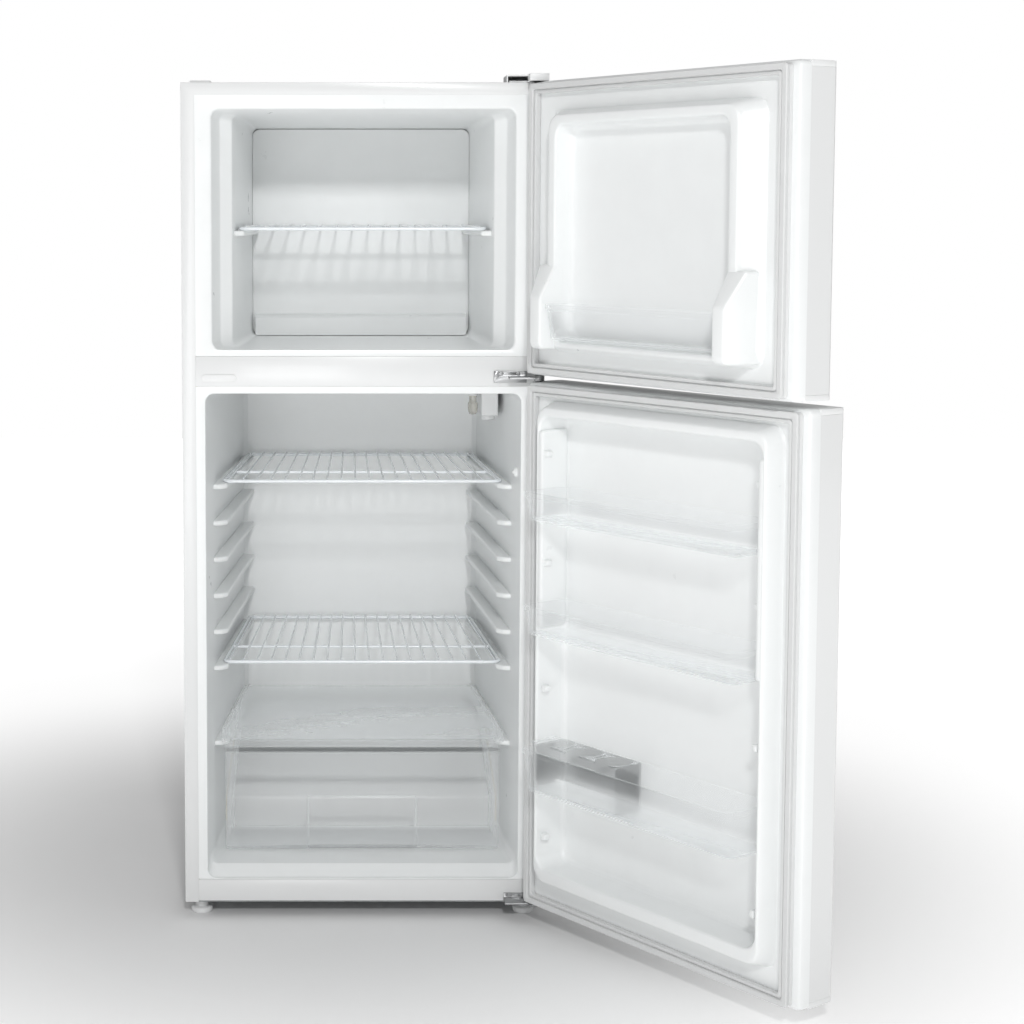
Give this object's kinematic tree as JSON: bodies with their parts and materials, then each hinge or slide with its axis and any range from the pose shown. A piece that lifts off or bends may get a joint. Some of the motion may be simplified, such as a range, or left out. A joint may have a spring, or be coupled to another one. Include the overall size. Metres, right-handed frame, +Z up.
{
  "type": "top freezer refrigerator",
  "caption": "Upright refrigerator with a freezer compartment above, two right-hung doors, wire shelves, a clear crisper drawer and clear door bins.",
  "frame": {"origin": "on the floor, under the middle of the cabinet's footprint", "axes": "+Z up, +X to the right seen from in front, +Y to the back; the doors are at -Y"},
  "size_m": [0.9794, 1.1542, 1.412],
  "materials": {
    "white_paint": "satin",
    "zinc_sheet": "satin",
    "white_liner": "gloss",
    "foam": "matte",
    "white_plastic": "satin",
    "grey_plastic": "matte",
    "hinge_steel": "satin",
    "black_paint": "satin",
    "copper_pipe": "satin",
    "bare_aluminium": "satin",
    "black_rubber": "matte",
    "seal": "satin",
    "white_wire": "gloss",
    "clear_plastic": "gloss",
    "bulb_glass": "gloss"
  },
  "bodies": {
    "cabinet": {"outer_cabinet_shell": "white_paint", "rear_panel": "zinc_sheet", "base_pan": "zinc_sheet", "divider_rail": "white_paint", "base_rail": "white_paint", "freezer_liner": "white_liner", "fridge_liner": "white_liner", "cabinet_insulation": "foam", "hinge_hole_covers": "white_plastic", "top_hinge": "hinge_steel", "top_hinge_cover": "white_plastic", "middle_hinge": "hinge_steel", "bottom_hinge": "hinge_steel", "hinge_screws": "hinge_steel", "roller_brackets": "zinc_sheet", "compressor": "black_paint", "compressor_grommets": "black_rubber", "compressor_tray": "zinc_sheet", "drip_tray": "grey_plastic", "condenser_coil": "black_paint", "condenser_clips": "black_paint", "refrigerant_lines": "copper_pipe", "power_inlet": "grey_plastic", "freezer_back_cover": "white_liner", "evaporator": "bare_aluminium", "fan_motor": "hinge_steel", "thermostat_housing": "white_plastic", "lamp_bulb": "bulb_glass", "lamp_holder": "white_plastic"},
    "freezer_door": {"freezer_door_panel": "white_paint", "freezer_door_caps": "white_plastic", "freezer_door_liner": "white_liner", "freezer_door_foam": "foam", "freezer_door_gasket": "seal", "freezer_door_bushes": "grey_plastic", "freezer_door_handle": "white_plastic"},
    "fridge_door": {"fridge_door_panel": "white_paint", "fridge_door_caps": "white_plastic", "fridge_door_liner": "white_liner", "fridge_door_foam": "foam", "fridge_door_gasket": "seal", "fridge_door_bushes": "grey_plastic", "fridge_door_handle": "white_plastic"},
    "front_left_foot": {"front_left_foot": "white_plastic"},
    "front_right_foot": {"front_right_foot": "white_plastic"},
    "rear_left_roller": {"rear_left_roller": "grey_plastic"},
    "rear_right_roller": {"rear_right_roller": "grey_plastic"},
    "evaporator_fan": {"evaporator_fan": "grey_plastic"},
    "thermostat_dial": {"thermostat_dial": "white_plastic"},
    "light_switch_button": {"light_switch_button": "white_plastic"},
    "freezer_shelf": {"freezer_shelf": "white_wire"},
    "upper_fridge_shelf": {"upper_fridge_shelf": "white_wire"},
    "lower_fridge_shelf": {"lower_fridge_shelf": "white_wire"},
    "crisper_cover": {"crisper_cover": "clear_plastic"},
    "crisper_drawer": {"crisper_drawer": "clear_plastic"},
    "freezer_door_bin": {"freezer_door_bin": "clear_plastic"},
    "upper_door_bin": {"upper_door_bin": "clear_plastic"},
    "middle_door_bin": {"middle_door_bin": "clear_plastic"},
    "lower_door_bin": {"lower_door_bin": "clear_plastic"},
    "bottle_holder": {"bottle_holder": "clear_plastic"}
  },
  "joints": [
    {"name": "freezer_door_swing", "type": "hinge", "parent": "cabinet", "child": "freezer_door", "pos_m": [0.288, -0.327, 1.161], "axis": [0, 0, 1], "range_deg": [-122.75, 7]},
    {"name": "fridge_door_swing", "type": "hinge", "parent": "cabinet", "child": "fridge_door", "pos_m": [0.288, -0.327, 0.4745], "axis": [0, 0, 1], "range_deg": [-126, 4]},
    {"name": "freezer_shelf_slide", "type": "slide", "parent": "cabinet", "child": "freezer_shelf", "axis": [0, -1, 0], "range_m": [0, 0.3]},
    {"name": "upper_shelf_slide", "type": "slide", "parent": "cabinet", "child": "upper_fridge_shelf", "axis": [0, -1, 0], "range_m": [0, 0.36]},
    {"name": "lower_shelf_slide", "type": "slide", "parent": "cabinet", "child": "lower_fridge_shelf", "axis": [0, -1, 0], "range_m": [0, 0.36]},
    {"name": "crisper_cover_slide", "type": "slide", "parent": "cabinet", "child": "crisper_cover", "axis": [0, -1, 0], "range_m": [0, 0.32]},
    {"name": "crisper_drawer_slide", "type": "slide", "parent": "cabinet", "child": "crisper_drawer", "axis": [0, -1, 0], "range_m": [0, 0.34]},
    {"name": "freezer_bin_lift", "type": "slide", "parent": "freezer_door", "child": "freezer_door_bin", "axis": [0, 0, 1], "range_m": [0, 0.05]},
    {"name": "upper_bin_lift", "type": "slide", "parent": "fridge_door", "child": "upper_door_bin", "axis": [0, 0, 1], "range_m": [0, 0.035]},
    {"name": "middle_bin_lift", "type": "slide", "parent": "fridge_door", "child": "middle_door_bin", "axis": [0, 0, 1], "range_m": [0, 0.035]},
    {"name": "lower_bin_lift", "type": "slide", "parent": "fridge_door", "child": "lower_door_bin", "axis": [0, 0, 1], "range_m": [0, 0.035]},
    {"name": "bottle_holder_lift", "type": "slide", "parent": "lower_door_bin", "child": "bottle_holder", "axis": [0, 0, 1], "range_m": [0, 0.05]},
    {"name": "thermostat_turn", "type": "hinge", "parent": "cabinet", "child": "thermostat_dial", "pos_m": [0.222, -0.088, 0.83], "axis": [0, 0, 1], "range_deg": [-140, 140]},
    {"name": "light_switch_press", "type": "slide", "parent": "cabinet", "child": "light_switch_button", "axis": [1, 0, 0], "range_m": [0, 0.004], "stiffness_N_per_m": 120},
    {"name": "fan_spin", "type": "hinge", "parent": "cabinet", "child": "evaporator_fan", "pos_m": [0, 0.127, 1.246], "axis": [0, 1, 0], "continuous": true},
    {"name": "left_foot_screw", "type": "hinge", "parent": "cabinet", "child": "front_left_foot", "pos_m": [-0.274, -0.27, 0], "axis": [0, 0, 1], "continuous": true},
    {"name": "right_foot_screw", "type": "hinge", "parent": "cabinet", "child": "front_right_foot", "pos_m": [0.274, -0.27, 0], "axis": [0, 0, 1], "continuous": true},
    {"name": "left_roller_spin", "type": "hinge", "parent": "cabinet", "child": "rear_left_roller", "pos_m": [-0.268, 0.26, 0.012], "axis": [1, 0, 0], "continuous": true},
    {"name": "right_roller_spin", "type": "hinge", "parent": "cabinet", "child": "rear_right_roller", "pos_m": [0.268, 0.26, 0.012], "axis": [1, 0, 0], "continuous": true}
  ]
}
